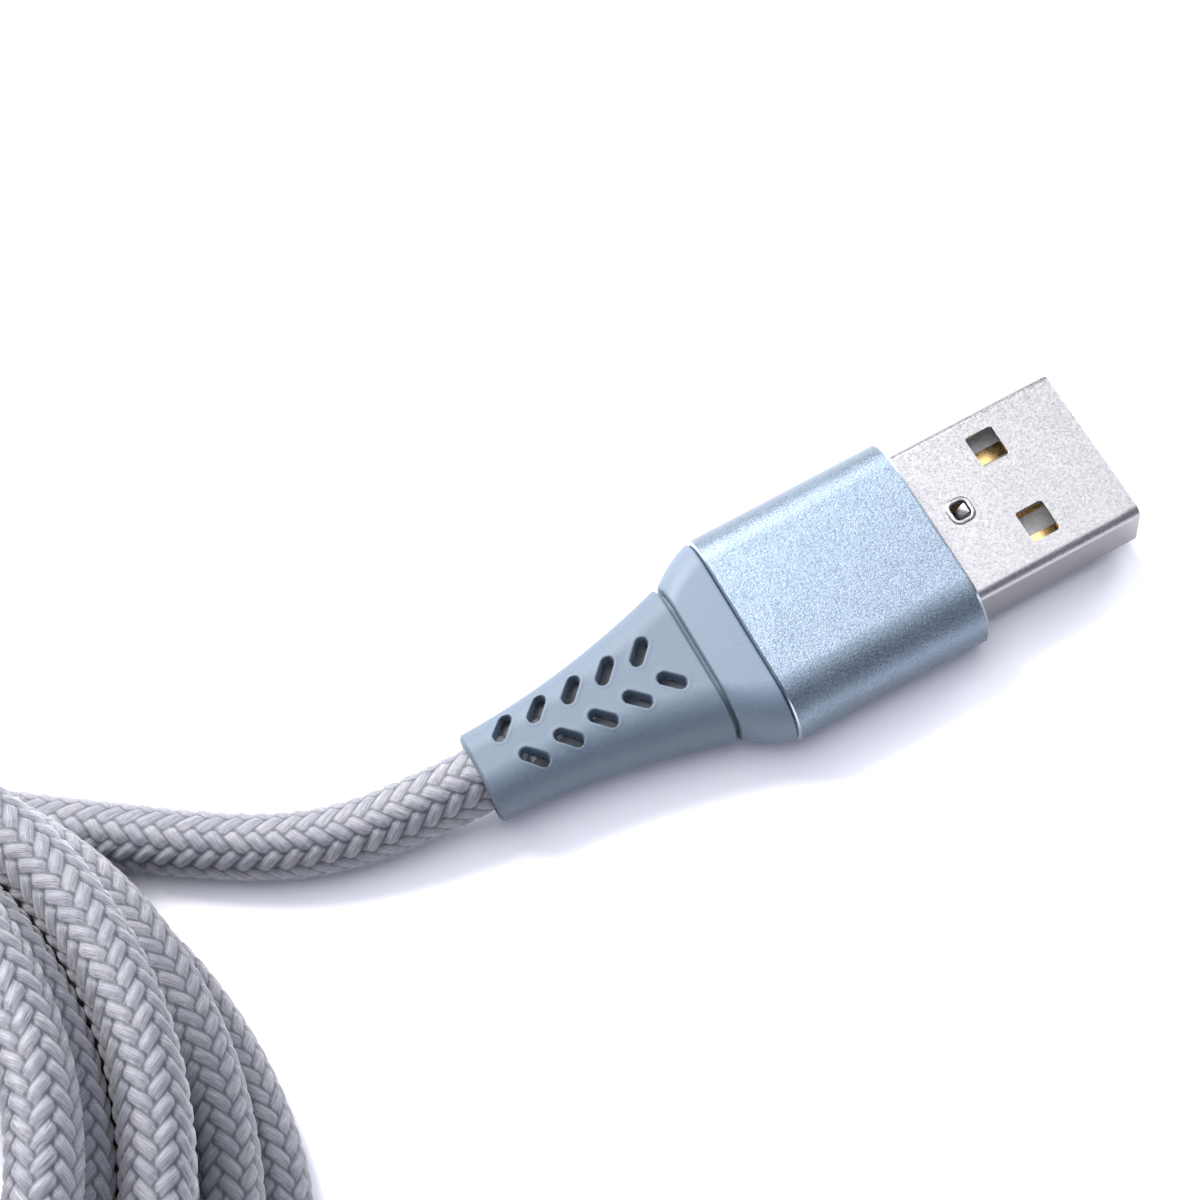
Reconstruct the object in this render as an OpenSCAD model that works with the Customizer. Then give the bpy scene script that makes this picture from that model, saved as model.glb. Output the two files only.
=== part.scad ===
// Braided charging cable: a USB-A plug, a wound braided cable and a USB-C plug.
// The frame stands on the table under the middle of the USB-A plug, +X towards its tip, +Z up.

/* [USB-A shell] */
// Width of the steel shell across its broad face
shell_w = 12; // [11.5:0.1:14.5]
// Height of the steel shell
shell_h = 4.5; // [4:0.1:5.2]
// Thickness of the shell's sheet steel
shell_wall = 0.3; // [0.2:0.05:0.4]
// Length of the shell that stands out of the sleeve
shell_out = 12.2; // [11:0.1:15]
// Length of the shell held inside the sleeve
shell_in = 6.5; // [5:0.1:7.5]
// Length of a window along the plug
window_l = 2; // [1.5:0.1:2.4]
// Width of a window across the plug
window_w = 2.4; // [1.8:0.1:2.8]
// Distance between the centres of the two windows
window_gap = 6.3; // [5:0.1:7]
// Distance from the sleeve to the windows' centres
window_x = 6.1; // [4.5:0.1:8]
// Distance from the sleeve to the bent tab's centre
tab_x = 2.2; // [1.5:0.1:3]

/* [USB-A contacts] */
// Width of a contact blade
blade_w = 1; // [0.8:0.05:1.2]
// Thickness of a contact blade
blade_t = 0.25; // [0.2:0.05:0.3]
// Distance from the middle to a data blade's centre
data_y = 1; // [0.9:0.05:1.2]
// Distance from the middle to a power or ground blade's centre
power_y = 3.5; // [3:0.05:3.8]
// How far a data blade stops short of a power blade
data_short = 1; // [0.5:0.1:1.5]
// Thickness of the plastic tongue
tongue_t = 1.9; // [1.6:0.05:2.1]
// Distance from the shell's mouth back to the tongue's end
tongue_back = 0.6; // [0.3:0.1:1.5]

/* [USB-A sleeve] */
// How far the sleeve stands out beyond the shell at each side
sleeve_side = 1.6; // [1.3:0.05:2]
// How far the sleeve stands out above and below the shell
sleeve_over = 1.25; // [1:0.05:1.6]
// Length of the aluminium sleeve
sleeve_l = 14.3; // [12:0.1:17.2]
// Radius of the sleeve's long edges
sleeve_r = 3.1; // [1.5:0.1:3.2]
// Wall of the sleeve
sleeve_wall = 0.7; // [0.5:0.05:0.9]
// Depth of the lip that closes the sleeve's front round the shell
sleeve_lip = 0.8; // [0.5:0.1:1.2]
// Bright chamfer round both ends of the sleeve
sleeve_chamfer = 0.25; // [0.1:0.05:0.4]

/* [USB-A collar and strain relief] */
// Length of the collar behind the sleeve
collar_l = 3.1; // [2.5:0.1:4]
// How much the collar draws in at each side on its way to the groove
collar_draw = 1.8; // [1.2:0.05:2.2]
// How much the collar draws in above and below on its way to the groove
collar_drop = 0.15; // [0.05:0.05:0.3]
// Width of the groove between collar and strain relief
groove = 0.3; // [0.2:0.05:0.6]
// Length of the tapered strain relief
relief_l = 15.8; // [12:0.1:19]
// Wall of the strain relief beside the cable at its small end
relief_side = 0.85; // [0.5:0.05:1.1]
// Wall of the strain relief above and below the cable at its small end
relief_over = 0.5; // [0.3:0.05:0.7]
// Number of slots in each row
slot_count = 5; // [2:1:6]
// Distance between neighbouring slots of one row
slot_pitch = 2.5; // [2:0.05:2.6]
// Length of a slot
slot_l = 1.9; // [1.2:0.05:2.1]
// Width of a slot
slot_w = 0.7; // [0.4:0.05:0.8]
// Depth of a slot below the relief's top
slot_depth = 0.95; // [0.4:0.05:1]
// Angle between a slot and the cable's direction
slot_angle = 46; // [30:1:60]
// Distance from the middle to a row of slots
slot_y = 1.4; // [1.2:0.05:1.5]
// How far the near row sits ahead of the far row
slot_shift = 0.9; // [0:0.1:1.2]

/* [Cable] */
// Diameter over the braid
cable_d = 4.4; // [3.6:0.1:5.3]
// Thickness of the braid over the inner jacket
braid_t = 0.5; // [0.3:0.05:0.6]
// Diameter of a power or ground wire
power_wire_d = 0.9; // [0.6:0.05:1]
// Diameter of a data wire
data_wire_d = 0.7; // [0.5:0.05:0.8]
// Wall of a crimped ferrule
ferrule_wall = 0.35; // [0.2:0.05:0.4]
// Length of a crimped ferrule
ferrule_l = 2.6; // [2:0.1:2.8]

/* [Coil] */
// Radius of the coil at the middle of its turns
coil_r = 25.5; // [23:0.1:34]
// Turns side by side
coil_columns = 3; // [2:1:4]
// Turns one above another
coil_layers = 6; // [4:1:8]
// Height that one more layer adds, as a share of the cable's diameter
coil_nesting = 0.91; // [0.86:0.01:1]

/* [USB-C plug] */
// Width of the USB-C shell
c_shell_w = 8.3; // [7.8:0.05:9.9]
// Height of the USB-C shell
c_shell_h = 2.5; // [2.4:0.05:2.9]
// Thickness of the USB-C shell
c_shell_wall = 0.25; // [0.15:0.05:0.3]
// Length of the USB-C shell that stands out of the sleeve
c_shell_out = 6.7; // [6:0.05:8]
// Length of the USB-C shell held inside the sleeve
c_shell_in = 4; // [3:0.1:4.5]
// Plastic beside the slot that takes the socket's tongue
c_slot_side = 0.5; // [0.4:0.05:0.6]
// Height of the slot that takes the socket's tongue
c_slot_h = 0.9; // [0.7:0.05:0.9]
// How far the USB-C sleeve stands out beyond its shell at each side
c_sleeve_side = 1.75; // [1.5:0.05:2.1]
// How far the USB-C sleeve stands out above and below its shell
c_sleeve_over = 1.7; // [1.6:0.05:2]
// Length of the USB-C sleeve
c_sleeve_l = 14; // [12.5:0.1:16.8]
// Radius of the USB-C sleeve's long edges
c_sleeve_r = 2.6; // [1.5:0.1:2.8]
// Length of the USB-C collar
c_collar_l = 2.4; // [2:0.1:3]
// Length of the USB-C strain relief
c_relief_l = 12; // [10:0.1:14]
// How much the USB-C collar draws in at each side on its way to the groove
c_collar_draw = 1.3; // [0.8:0.05:1.6]

/* [Hidden] */
$fn = 48;

// Places along the USB-A plug. Its local zero is the middle of the sleeve's front face.
sleeve_w = shell_w + 2 * sleeve_side;
sleeve_h = shell_h + 2 * sleeve_over;
plug_l = shell_out + sleeve_l + collar_l + groove + relief_l;
nose_x = plug_l / 2 - shell_out;
axis_z = sleeve_h / 2;
collar_x = -sleeve_l;
groove_x = collar_x - collar_l;
relief_x = groove_x - groove;
relief_end_x = relief_x - relief_l;

// The neck that joins the strain relief through the collar, and the braid's end inside it
cable_r = cable_d / 2;
jacket_r = cable_r - braid_t;
neck_r = jacket_r + 0.9;
neck_l = 2;
braid_stop = 1.5;
jacket_out = 2.6;
collar_w = sleeve_w - 2 * collar_draw;
collar_h = sleeve_h - 2 * collar_drop;
relief_w = cable_d + 2 * relief_side;
relief_h = cable_d + 2 * relief_over;
relief_step = 0.1;

// The shell's corners, the insulator in it and the contacts' solder tails behind it
shell_r = 0.7;
shell_inner_h = shell_h - 2 * shell_wall;
insulator_fit = 0.02;
insulator_edge = 0.4;
block_l = 4;
tongue_top = tongue_t - shell_inner_h / 2;
blade_sink = blade_t - 0.05;
blade_back = 1;
tail_l = 1.6;
solder_l = 0.5;

// Tab slot in the shell, as length and width
tab_slot = [0.9, 1];

// How far from the cable's middle the stripped wires leave its jacket
core_r = jacket_r - 0.7;

// First slot of the far row, from the relief's small end
first_slot = 2.7;
c_first_slot = 1.9;

// Places along the USB-C plug, from the middle of its sleeve's front face
c_sleeve_w = c_shell_w + 2 * c_sleeve_side;
c_sleeve_h = c_shell_h + 2 * c_sleeve_over;
c_slot_w = c_shell_w - 2 * c_shell_wall - 2 * c_slot_side;
c_collar_w = c_sleeve_w - 2 * c_collar_draw;
c_collar_h = c_sleeve_h - 2 * relief_step;
c_collar_x = -c_sleeve_l;
c_groove_x = c_collar_x - c_collar_l;
c_relief_x = c_groove_x - groove;
c_relief_end_x = c_relief_x - c_relief_l;
c_shell_r = c_shell_h / 2 - 0.01;
board_t = 0.8;
board_w = c_slot_w;
board_l = 5.2;
board_in = 1.5;
pad_l = 0.8;
spring_t = 0.24;
spring_clear = 0.4;
resistor_size = [1, 0.5, 0.35];

// The coil's middle on the table, and half the width of its turns
coil_edge_x = -42.1;
coil_half = coil_columns * cable_d / 2;
coil_x = coil_edge_x - coil_half - coil_r;
coil_y = -6;
coil_h = cable_d * (1 + (coil_layers - 1) * coil_nesting);

// Route of the lead: out of the strain relief, down on the table and into the coil
lead_start = nose_x + relief_x - braid_stop;
lead_exit = nose_x + relief_end_x;
lie_z = cable_r + 0.1;
lead_route = [
  [lead_start, 0, axis_z], [lead_exit + 6, 0, axis_z], [lead_exit, 0, axis_z],
  [-26, 0.3, 3.2], [-29, 0.6, 2.7], [-32, 1.2, 2.4], [-35, 2.2, lie_z], [-38, 3.8, lie_z],
  [-41, 5.8, lie_z], [-44, 8, lie_z], [-46.4, 9.8, lie_z]
];

// The USB-C plug lies on top of the coil and points along -Y.
c_plug_x = coil_x - coil_r + 4.2;
c_plug_y = coil_y + 13;
c_plug_z = coil_h + c_sleeve_h / 2;

// Route of the tail: off the top turn and along the coil's top to the plug
function on_coil(more_r, a, z) =
  [coil_x + (coil_r + more_r) * cos(a), coil_y + (coil_r + more_r) * sin(a), coil_h + z];
tail_route = [
  on_coil(-1.8, 76, -2.4), on_coil(-1.2, 88, -1.6), on_coil(-0.6, 99, -0.6),
  on_coil(0.1, 109, 0.5), on_coil(0.4, 118, 1.5), on_coil(0.6, 127, 2.3), on_coil(0.6, 135, 2.7),
  [c_plug_x + 1.2, c_plug_y + 3, c_plug_z], [c_plug_x, c_plug_y, c_plug_z],
  [c_plug_x, c_plug_y - 4, c_plug_z], [c_plug_x, c_plug_y - c_relief_l + braid_stop, c_plug_z]
];

// ---------------------------------------------------------------- shared shapes

module at_usb_a() {
  translate([nose_x, 0, axis_z]) children();
}

module at_usb_c() {
  translate([c_plug_x, c_plug_y + c_relief_end_x, c_plug_z]) rotate([0, 0, -90]) children();
}

// Flat outline of a rounded rectangle, middle at zero
module rounded_rect(w, h, r) {
  square([w - 2 * r, h], center = true);
  square([w, h - 2 * r], center = true);
  for (sx = [-1, 1])
    for (sy = [-1, 1])
      translate([sx * (w / 2 - r), sy * (h / 2 - r)]) circle(r);
}

// Rounded bar along X from x0 to x1, w across Y and h up Z
module rounded_bar(x0, x1, w, h, r) {
  translate([x0, 0, 0]) rotate([90, 0, 90]) linear_extrude(x1 - x0) rounded_rect(w, h, r);
}

module block(x0, x1, y0, y1, z0, z1) {
  translate([x0, y0, z0]) cube([x1 - x0, y1 - y0, z1 - z0]);
}

// Round rod along X
module rod(x0, x1, r) {
  translate([x0, 0, 0]) rotate([0, 90, 0]) cylinder(r = r, h = x1 - x0);
}

// Rounded bar whose two ends are chamfered by c: four long rods and two crossing plates
module chamfered_bar(x0, x1, w, h, r, c) {
  l = x1 - x0;
  yr = w / 2 - r;
  zr = h / 2 - r;
  for (sy = [-1, 1])
    for (sz = [-1, 1])
      translate([x0, sy * yr, sz * zr]) rotate([0, 90, 0]) {
        cylinder(r1 = r - c, r2 = r, h = c);
        translate([0, 0, c]) cylinder(r = r, h = l - 2 * c);
        translate([0, 0, l - c]) cylinder(r1 = r, r2 = r - c, h = c);
      }
  translate([x0, yr, 0]) rotate([90, 0, 0]) linear_extrude(2 * yr) chamfered_outline(l, h / 2, c);
  translate([x0, 0, -zr]) linear_extrude(2 * zr) chamfered_outline(l, w / 2, c);
}

module chamfered_outline(l, half, c) {
  polygon([
    [0, -half + c], [c, -half], [l - c, -half], [l, -half + c],
    [l, half - c], [l - c, half], [c, half], [0, half - c]
  ]);
}

// One ring of a rounded-rectangle section at x, as ring_n points
ring_n = 32;
function ring(x, w, h, r) = [
  for (i = [0:ring_n - 1])
    let (a = 360 * (i + 0.5) / ring_n)
      [x, sign(cos(a)) * (w / 2 - r) + r * cos(a), sign(sin(a)) * (h / 2 - r) + r * sin(a)]
];

// Closed skin over a list of rings that follow one another, each of n points
module skin(rings, n) {
  last = len(rings) - 1;
  polyhedron(
    points = [for (one = rings) each one],
    faces = concat(
      [[for (i = [0:n - 1]) i]],
      [
        for (k = [0:last - 1])
          for (i = [0:n - 1])
            let (a = k * n + i, b = k * n + (i + 1) % n)
              each [[a, a + n, b + n], [a, b + n, b]]
      ],
      [[for (i = [n - 1:-1:0]) last * n + i]]
    )
  );
}

// Tube of radius r swept along a route; its rings stay upright
tube_n = 12;
function unit(v) = v / norm(v);
function route_dir(p, k) = unit(p[min(k + 1, len(p) - 1)] - p[max(k - 1, 0)]);
module swept_tube(route, r) {
  skin([
    for (k = [0:len(route) - 1])
      let (d = route_dir(route, k), side = unit(cross([0, 0, 1], d)), up = cross(d, side))
        [for (i = [0:tube_n - 1]) route[k] - r * cos(360 * i / tube_n) * side
          + r * sin(360 * i / tube_n) * up]
  ], tube_n);
}

// Straight round wire between two points
module wire(a, b, d) {
  v = b - a;
  turn_z = atan2(v[1], v[0]);
  tilt = acos(v[2] / norm(v));
  translate(a) rotate([0, tilt, turn_z]) cylinder(d = d, h = norm(v));
}

// ---------------------------------------------------------------- parts of both plugs

// Collar: from the sleeve's section down to the groove, bored for the relief's neck
module collar_body(x0, x1, w0, h0, r0, w1, h1) {
  difference() {
    skin([
      ring(x1, w1, h1, 0.86 * h1 / 2),
      ring(x0, w0, h0, r0)
    ], ring_n);
    rod(x1 - 1, x0 + 1, neck_r);
  }
}

// Concave taper of the relief: 0 at the groove, 1 at the small end
relief_steps = 16;
function relief_width(s, w0, w1) = w1 + (w0 - w1) * pow(1 - s, 1.9);
function relief_height(s, h0, h1) = h1 + (h0 - h1) * (1 - s);

module relief_body(x0, l, w0, h0, w1, h1) {
  difference() {
    union() {
      skin([
        for (k = [relief_steps:-1:0])
          let (s = k / relief_steps, w = relief_width(s, w0, w1), h = relief_height(s, h0, h1))
            ring(x0 - l * s, w, h, 0.86 * h / 2)
      ], ring_n);
      rod(x0 - 0.5, x0 + groove + neck_l, neck_r);
    }
    rod(x0 - l - 1, x0 - braid_stop, cable_r);
    rod(x0 - l, x0 + groove + neck_l + 1, jacket_r);
  }
}

// One slot: a long pocket with round ends
module slot(x, y, top, turn, depth) {
  translate([x, y, top - depth]) rotate([0, 0, turn]) linear_extrude(2 * depth) {
    square([slot_l - slot_w, slot_w], center = true);
    for (s = [-1, 1])
      translate([s * (slot_l - slot_w) / 2, 0]) circle(d = slot_w);
  }
}

module inner_jacket(x0, x1) {
  color("gainsboro") rod(x0, x1, jacket_r);
}

module crimp_ferrule(x0) {
  color("peru") difference() {
    rod(x0, x0 + ferrule_l, jacket_r + ferrule_wall);
    rod(x0 - 1, x0 + ferrule_l + 1, jacket_r);
  }
}

// ---------------------------------------------------------------- USB-A plug

module usb_a_shell() {
  inner_w = shell_w - 2 * shell_wall;
  color("silver") at_usb_a() difference() {
    rounded_bar(-shell_in, shell_out, shell_w, shell_h, shell_r);
    rounded_bar(-shell_in - 1, shell_out + 1, inner_w, shell_inner_h, shell_r - shell_wall);
    for (sy = [-1, 1])
      translate([window_x, sy * window_gap / 2, 0])
        cube([window_l, window_w, shell_h + 2], center = true);
    // slot round the bent tab
    translate([tab_x, 0, shell_h / 2]) cube([tab_slot[0], tab_slot[1], 2], center = true);
  }
}

module usb_a_insulator() {
  half = shell_w / 2 - shell_wall - insulator_edge;
  low = -shell_inner_h / 2 + insulator_fit;
  color("dimgray") at_usb_a() difference() {
    union() {
      block(-shell_in, shell_out - tongue_back, -half, half, low, tongue_top);
      block(-shell_in, -shell_in + block_l, -half, half, low, -low);
    }
    for (y = [-power_y, -data_y, data_y, power_y])
      block(-shell_in - 1, shell_out, y - blade_w / 2, y + blade_w / 2,
        tongue_top - blade_sink, tongue_top + blade_t - blade_sink);
  }
}

// Contact blade on the tongue with its solder tail behind the insulator
module usb_a_contact(y, short) {
  low = tongue_top - blade_sink;
  tip = shell_out - tongue_back - blade_back - short;
  color("goldenrod") at_usb_a()
    block(-shell_in - tail_l, tip, y - blade_w / 2, y + blade_w / 2, low, low + blade_t);
}

module usb_a_contact_power() usb_a_contact(power_y, 0);
module usb_a_contact_data_minus() usb_a_contact(data_y, data_short);
module usb_a_contact_data_plus() usb_a_contact(-data_y, data_short);
module usb_a_contact_ground() usb_a_contact(-power_y, 0);

// Wires run from the tails to the end of the jacket, fanned out of its core.
a_jacket_x = collar_x + jacket_out;
module usb_a_wire_run(y, d, core_y, core_z) {
  tail_z = tongue_top - blade_sink + blade_t + d / 2;
  wire([a_jacket_x, core_y, core_z], [-shell_in - tail_l + solder_l, y, tail_z], d);
}

module usb_a_wire_power() {
  color("firebrick") at_usb_a() usb_a_wire_run(power_y, power_wire_d, core_r, 0);
}

module usb_a_wire_data_minus() {
  color("white") at_usb_a() usb_a_wire_run(data_y, data_wire_d, 0.1, core_r);
}

module usb_a_wire_data_plus() {
  color("seagreen") at_usb_a() usb_a_wire_run(-data_y, data_wire_d, -0.1, -core_r);
}

module usb_a_wire_ground() {
  color("black") at_usb_a() usb_a_wire_run(-power_y, power_wire_d, -core_r, 0);
}

module usb_a_inner_jacket() {
  at_usb_a() inner_jacket(relief_x - braid_stop, a_jacket_x);
}

module usb_a_crimp_ferrule() {
  at_usb_a() crimp_ferrule(collar_x);
}

// Mould round the shell's back: everything that it holds is cut out of it.
module usb_a_inner_mould() {
  half_w = sleeve_w / 2 - sleeve_wall;
  color("whitesmoke") difference() {
    at_usb_a() rounded_bar(collar_x, -sleeve_lip, 2 * half_w, sleeve_h - 2 * sleeve_wall,
      sleeve_r - sleeve_wall);
    at_usb_a() rounded_bar(-shell_in, 1, shell_w, shell_h, shell_r);
    at_usb_a() rod(collar_x - 1, collar_x + ferrule_l, jacket_r + ferrule_wall);
    at_usb_a() rod(collar_x, a_jacket_x, jacket_r);
    usb_a_contact_power();
    usb_a_contact_data_minus();
    usb_a_contact_data_plus();
    usb_a_contact_ground();
    usb_a_wire_power();
    usb_a_wire_data_minus();
    usb_a_wire_data_plus();
    usb_a_wire_ground();
  }
}

module usb_a_sleeve() {
  color("lightsteelblue") at_usb_a() difference() {
    chamfered_bar(-sleeve_l, 0, sleeve_w, sleeve_h, sleeve_r, sleeve_chamfer);
    rounded_bar(-sleeve_l - 1, -sleeve_lip, sleeve_w - 2 * sleeve_wall,
      sleeve_h - 2 * sleeve_wall, sleeve_r - sleeve_wall);
    rounded_bar(-sleeve_lip - 1, 1, shell_w, shell_h, shell_r);
  }
}

module usb_a_collar() {
  edge = 0.1;
  color("slategray") at_usb_a()
    collar_body(collar_x, groove_x, sleeve_w - 2 * edge, sleeve_h - 2 * edge, sleeve_r - edge,
      collar_w, collar_h);
}

module usb_a_strain_relief() {
  big_h = collar_h - relief_step;
  color("lightslategray") at_usb_a() difference() {
    relief_body(relief_x, relief_l, collar_w - 2 * relief_step, big_h, relief_w, relief_h);
    for (k = [0:slot_count - 1])
      for (side = [-1, 1]) {
        x = relief_end_x + first_slot + k * slot_pitch + (side < 0 ? slot_shift : 0);
        top = relief_height((relief_x - x) / relief_l, big_h, relief_h) / 2;
        slot(x, side * slot_y, top, side * slot_angle, slot_depth);
        mirror([0, 0, 1]) slot(x, side * slot_y, top, side * slot_angle, slot_depth);
      }
  }
}

// ---------------------------------------------------------------- cable

module cable_lead() {
  color("darkgray") swept_tube(lead_route, cable_r);
}

// Closed outer shape of the wound turns: the top turns sit inside the bottom ones.
module cable_coil() {
  inner = coil_r - coil_half;
  outer = coil_r + coil_half;
  edge = cable_r / 2;
  color("darkgray") translate([coil_x, coil_y, 0]) rotate_extrude($fn = 96) polygon([
    [inner, edge], [inner + edge, 0], [outer - edge, 0], [outer, edge], [outer, cable_d],
    [outer - cable_d, 2 * cable_d], [outer - cable_d, coil_h - cable_r],
    [outer - cable_d - cable_r, coil_h], [inner + edge, coil_h], [inner, coil_h - edge]
  ]);
}

module cable_tail() {
  color("darkgray") swept_tube(tail_route, cable_r);
}

// ---------------------------------------------------------------- USB-C plug

module usb_c_shell() {
  color("silver") at_usb_c() difference() {
    rounded_bar(-c_shell_in, c_shell_out, c_shell_w, c_shell_h, c_shell_r);
    rounded_bar(-c_shell_in - 1, c_shell_out + 1, c_shell_w - 2 * c_shell_wall,
      c_shell_h - 2 * c_shell_wall, c_shell_r - c_shell_wall);
  }
}

// Rows of spring contacts: their middles across the plug
c_pitch = 0.5;
c_upper_y = [for (k = [-5.5, -2.5, -1.5, -0.5, 0.5, 2.5, 5.5]) k * c_pitch];
c_lower_y = [for (k = [-5.5, -2.5, -1.5, 2.5, 5.5]) k * c_pitch];
c_blade = [0.25, 0.12];

module usb_c_contact_row(list, side) {
  z0 = c_slot_h / 2 - 0.04;
  for (y = list)
    mirror([0, 0, side < 0 ? 1 : 0])
      block(-c_shell_in - 1.5, c_shell_out - 1.6, y - c_blade[0] / 2, y + c_blade[0] / 2,
        z0, z0 + c_blade[1]);
}

module usb_c_insulator() {
  w = c_shell_w - 2 * c_shell_wall;
  h = c_shell_h - 2 * c_shell_wall;
  color("black") at_usb_c() difference() {
    rounded_bar(-c_shell_in, c_shell_out - 0.4, w, h, h / 2 - 0.01);
    block(-0.5, c_shell_out + 1, -c_slot_w / 2, c_slot_w / 2, -c_slot_h / 2, c_slot_h / 2);
    latch_outline(0);
    usb_c_contact_row(c_upper_y, 1);
    usb_c_contact_row(c_lower_y, -1);
    board_block();
  }
}

module usb_c_contacts_upper() {
  color("goldenrod") at_usb_c() usb_c_contact_row(c_upper_y, 1);
}

module usb_c_contacts_lower() {
  color("goldenrod") at_usb_c() usb_c_contact_row(c_lower_y, -1);
}

// Thin middle plate with the two side springs that click into the socket
module latch_outline(gap) {
  t = 0.15;
  back = -c_shell_in + board_in + gap;
  spring_y = (c_slot_w + spring_t) / 2;
  block(back, -0.5 - gap, -c_slot_w / 2, c_slot_w / 2, -t / 2, t / 2);
  for (s = [-1, 1])
    block(back + spring_clear, c_shell_out - 1.8, s * spring_y - spring_t / 2,
      s * spring_y + spring_t / 2, -0.3, 0.3);
}

module usb_c_latch_plate() {
  color("gray") at_usb_c() latch_outline(0.02);
}

module usb_c_circuit_board() {
  color("darkgreen") at_usb_c() board_block();
}

module board_block() {
  block(-c_shell_in + board_in - board_l, -c_shell_in + board_in, -board_w / 2, board_w / 2,
    -board_t / 2, board_t / 2);
}

// The resistor sits on the board between the ground and data wires.
module usb_c_resistor() {
  color("dimgray") at_usb_c()
    translate([-c_shell_in - 1.1, -1.7, board_t / 2 + resistor_size[2] / 2])
      cube(resistor_size, center = true);
}

// Wires lie on the board's back end and run into the jacket.
c_jacket_x = c_collar_x + jacket_out;
c_pad_x = -c_shell_in + board_in - board_l + pad_l;
module usb_c_wire_run(y, d, core_y, core_z) {
  pad_z = board_t / 2 + d / 2;
  wire([c_jacket_x, core_y, core_z], [c_pad_x, y, pad_z], d);
}

module usb_c_wire_power() {
  color("firebrick") at_usb_c() usb_c_wire_run(2.6, power_wire_d, core_r, core_r - 0.65);
}

module usb_c_wire_data_minus() {
  color("white") at_usb_c() usb_c_wire_run(0.9, data_wire_d, 0.4, core_r + 0.15);
}

module usb_c_wire_data_plus() {
  color("seagreen") at_usb_c() usb_c_wire_run(-0.9, data_wire_d, -0.4, core_r + 0.15);
}

module usb_c_wire_ground() {
  color("black") at_usb_c() usb_c_wire_run(-2.6, power_wire_d, -core_r, core_r - 0.65);
}

module usb_c_inner_jacket() {
  at_usb_c() inner_jacket(c_relief_x - braid_stop, c_jacket_x);
}

module usb_c_crimp_ferrule() {
  at_usb_c() crimp_ferrule(c_collar_x);
}

module usb_c_inner_mould() {
  half_w = c_sleeve_w / 2 - sleeve_wall;
  color("whitesmoke") difference() {
    at_usb_c() rounded_bar(c_collar_x, -sleeve_lip, 2 * half_w, c_sleeve_h - 2 * sleeve_wall,
      c_sleeve_r - sleeve_wall);
    at_usb_c() rounded_bar(-c_shell_in, 1, c_shell_w, c_shell_h, c_shell_r);
    at_usb_c() rod(c_collar_x - 1, c_collar_x + ferrule_l, jacket_r + ferrule_wall);
    at_usb_c() rod(c_collar_x, c_jacket_x, jacket_r);
    usb_c_contacts_upper();
    usb_c_contacts_lower();
    usb_c_circuit_board();
    usb_c_resistor();
    usb_c_wire_power();
    usb_c_wire_data_minus();
    usb_c_wire_data_plus();
    usb_c_wire_ground();
  }
}

module usb_c_sleeve() {
  color("lightsteelblue") at_usb_c() difference() {
    chamfered_bar(-c_sleeve_l, 0, c_sleeve_w, c_sleeve_h, c_sleeve_r, sleeve_chamfer);
    rounded_bar(-c_sleeve_l - 1, -sleeve_lip, c_sleeve_w - 2 * sleeve_wall,
      c_sleeve_h - 2 * sleeve_wall, c_sleeve_r - sleeve_wall);
    rounded_bar(-sleeve_lip - 1, 1, c_shell_w, c_shell_h, c_shell_r);
  }
}

module usb_c_collar() {
  edge = 0.1;
  color("slategray") at_usb_c()
    collar_body(c_collar_x, c_groove_x, c_sleeve_w - 2 * edge, c_sleeve_h - 2 * edge,
      c_sleeve_r - edge, c_collar_w, c_collar_h);
}

module usb_c_strain_relief() {
  big_h = c_collar_h - relief_step;
  color("lightslategray") at_usb_c() difference() {
    relief_body(c_relief_x, c_relief_l, c_collar_w - 2 * relief_step, big_h, relief_w, relief_h);
    for (k = [0:slot_count - 2])
      for (side = [-1, 1]) {
        x = c_relief_end_x + c_first_slot + k * slot_pitch + (side < 0 ? slot_shift : 0);
        top = relief_height((c_relief_x - x) / c_relief_l, big_h, relief_h) / 2;
        slot(x, side * slot_y, top, side * slot_angle, slot_depth);
        mirror([0, 0, 1]) slot(x, side * slot_y, top, side * slot_angle, slot_depth);
      }
  }
}

usb_a_shell();
usb_a_insulator();
usb_a_contact_power();
usb_a_contact_data_minus();
usb_a_contact_data_plus();
usb_a_contact_ground();
usb_a_wire_power();
usb_a_wire_data_minus();
usb_a_wire_data_plus();
usb_a_wire_ground();
usb_a_inner_jacket();
usb_a_crimp_ferrule();
usb_a_inner_mould();
usb_a_sleeve();
usb_a_collar();
usb_a_strain_relief();
cable_lead();
cable_coil();
cable_tail();
usb_c_shell();
usb_c_insulator();
usb_c_contacts_upper();
usb_c_contacts_lower();
usb_c_latch_plate();
usb_c_circuit_board();
usb_c_resistor();
usb_c_wire_power();
usb_c_wire_data_minus();
usb_c_wire_data_plus();
usb_c_wire_ground();
usb_c_inner_jacket();
usb_c_crimp_ferrule();
usb_c_inner_mould();
usb_c_sleeve();
usb_c_collar();
usb_c_strain_relief();
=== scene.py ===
"""Visual model of a braided charging cable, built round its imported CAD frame.

The cable's own sizes are in millimetres here, and MM turns them into Blender's metres. The
camera's clip range, the table, the lights and the depths of the materials' bumps are in metres.
"""

import math

import bmesh
import bpy
import numpy as np
from mathutils import Matrix, Vector


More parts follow.
